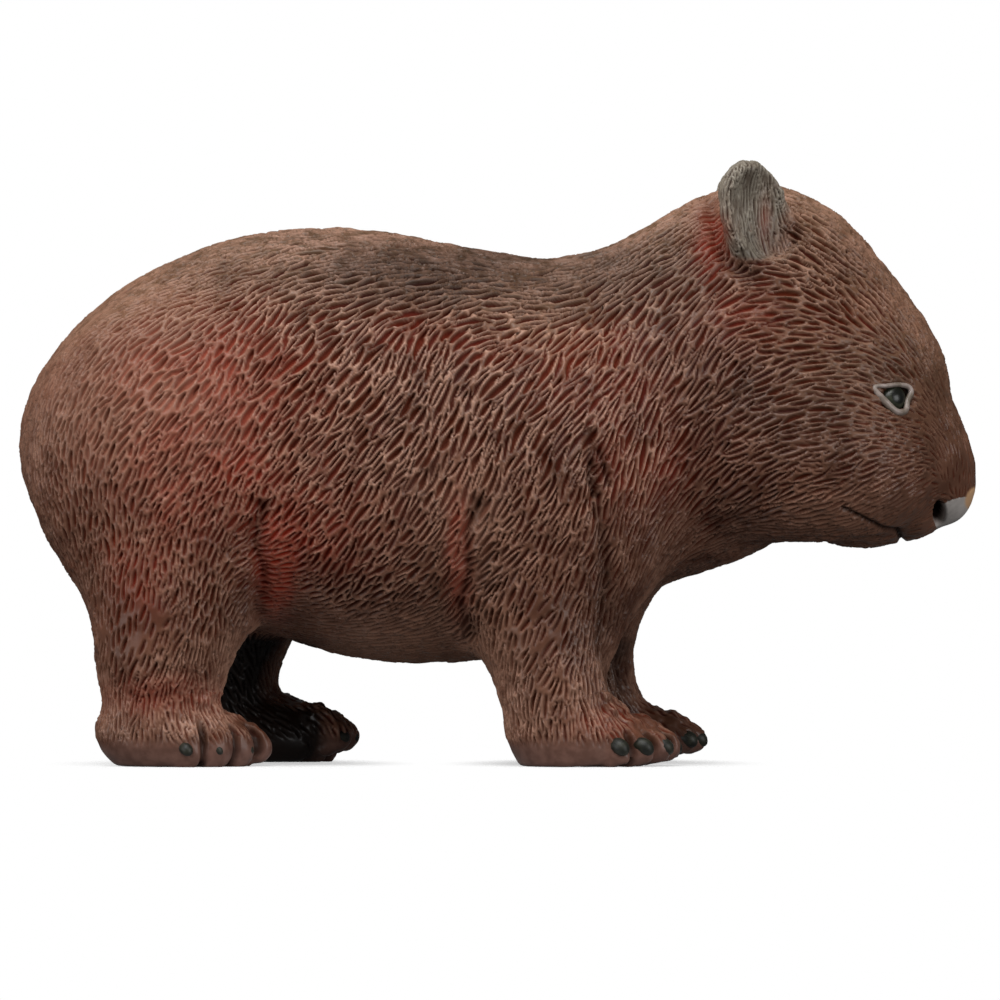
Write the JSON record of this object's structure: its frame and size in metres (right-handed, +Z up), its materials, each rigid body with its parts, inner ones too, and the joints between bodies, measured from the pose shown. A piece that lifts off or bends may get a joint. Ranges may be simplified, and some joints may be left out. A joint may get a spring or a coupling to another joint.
{
  "type": "toy wombat figure",
  "caption": "Moulded vinyl toy of a standing wombat, with carved fur, rounded ears and blunt claws, painted brown.",
  "frame": {"origin": "on the floor, at the middle of the toy's bounding box", "axes": "+X towards the nose, +Y towards the animal's left side, +Z up"},
  "size_m": [0.1098, 0.0456, 0.0694],
  "materials": {
    "coat": "satin painted vinyl, brown with red-brown shading and pale brushed ridges",
    "paw": "satin painted vinyl, reddish brown",
    "ear": "satin painted vinyl, grey brushed over brown",
    "eye": "gloss painted vinyl, dark grey-green with a black pupil",
    "nose": "satin painted vinyl, grey-lilac",
    "claw": "satin painted vinyl, green-black"
  },
  "bodies": {
    "root": {"torso": "coat", "neck": "coat", "head": "coat", "leg_front_right": "coat", "leg_front_left": "coat", "leg_hind_right": "coat", "leg_hind_left": "coat", "paw_front_right": "paw", "paw_front_left": "paw", "paw_hind_right": "paw", "paw_hind_left": "paw", "ear_right": "ear", "ear_left": "ear", "eye_right": "eye", "eye_left": "eye", "nose": "nose", "claw_front_right_1": "claw", "claw_front_right_2": "claw", "claw_front_right_3": "claw", "claw_front_right_4": "claw", "claw_front_right_5": "claw", "claw_front_left_1": "claw", "claw_front_left_2": "claw", "claw_front_left_3": "claw", "claw_front_left_4": "claw", "claw_front_left_5": "claw", "claw_hind_right_1": "claw", "claw_hind_right_2": "claw", "claw_hind_right_3": "claw", "claw_hind_right_4": "claw", "claw_hind_right_5": "claw", "claw_hind_left_1": "claw", "claw_hind_left_2": "claw", "claw_hind_left_3": "claw", "claw_hind_left_4": "claw", "claw_hind_left_5": "claw"}
  },
  "joints": []
}
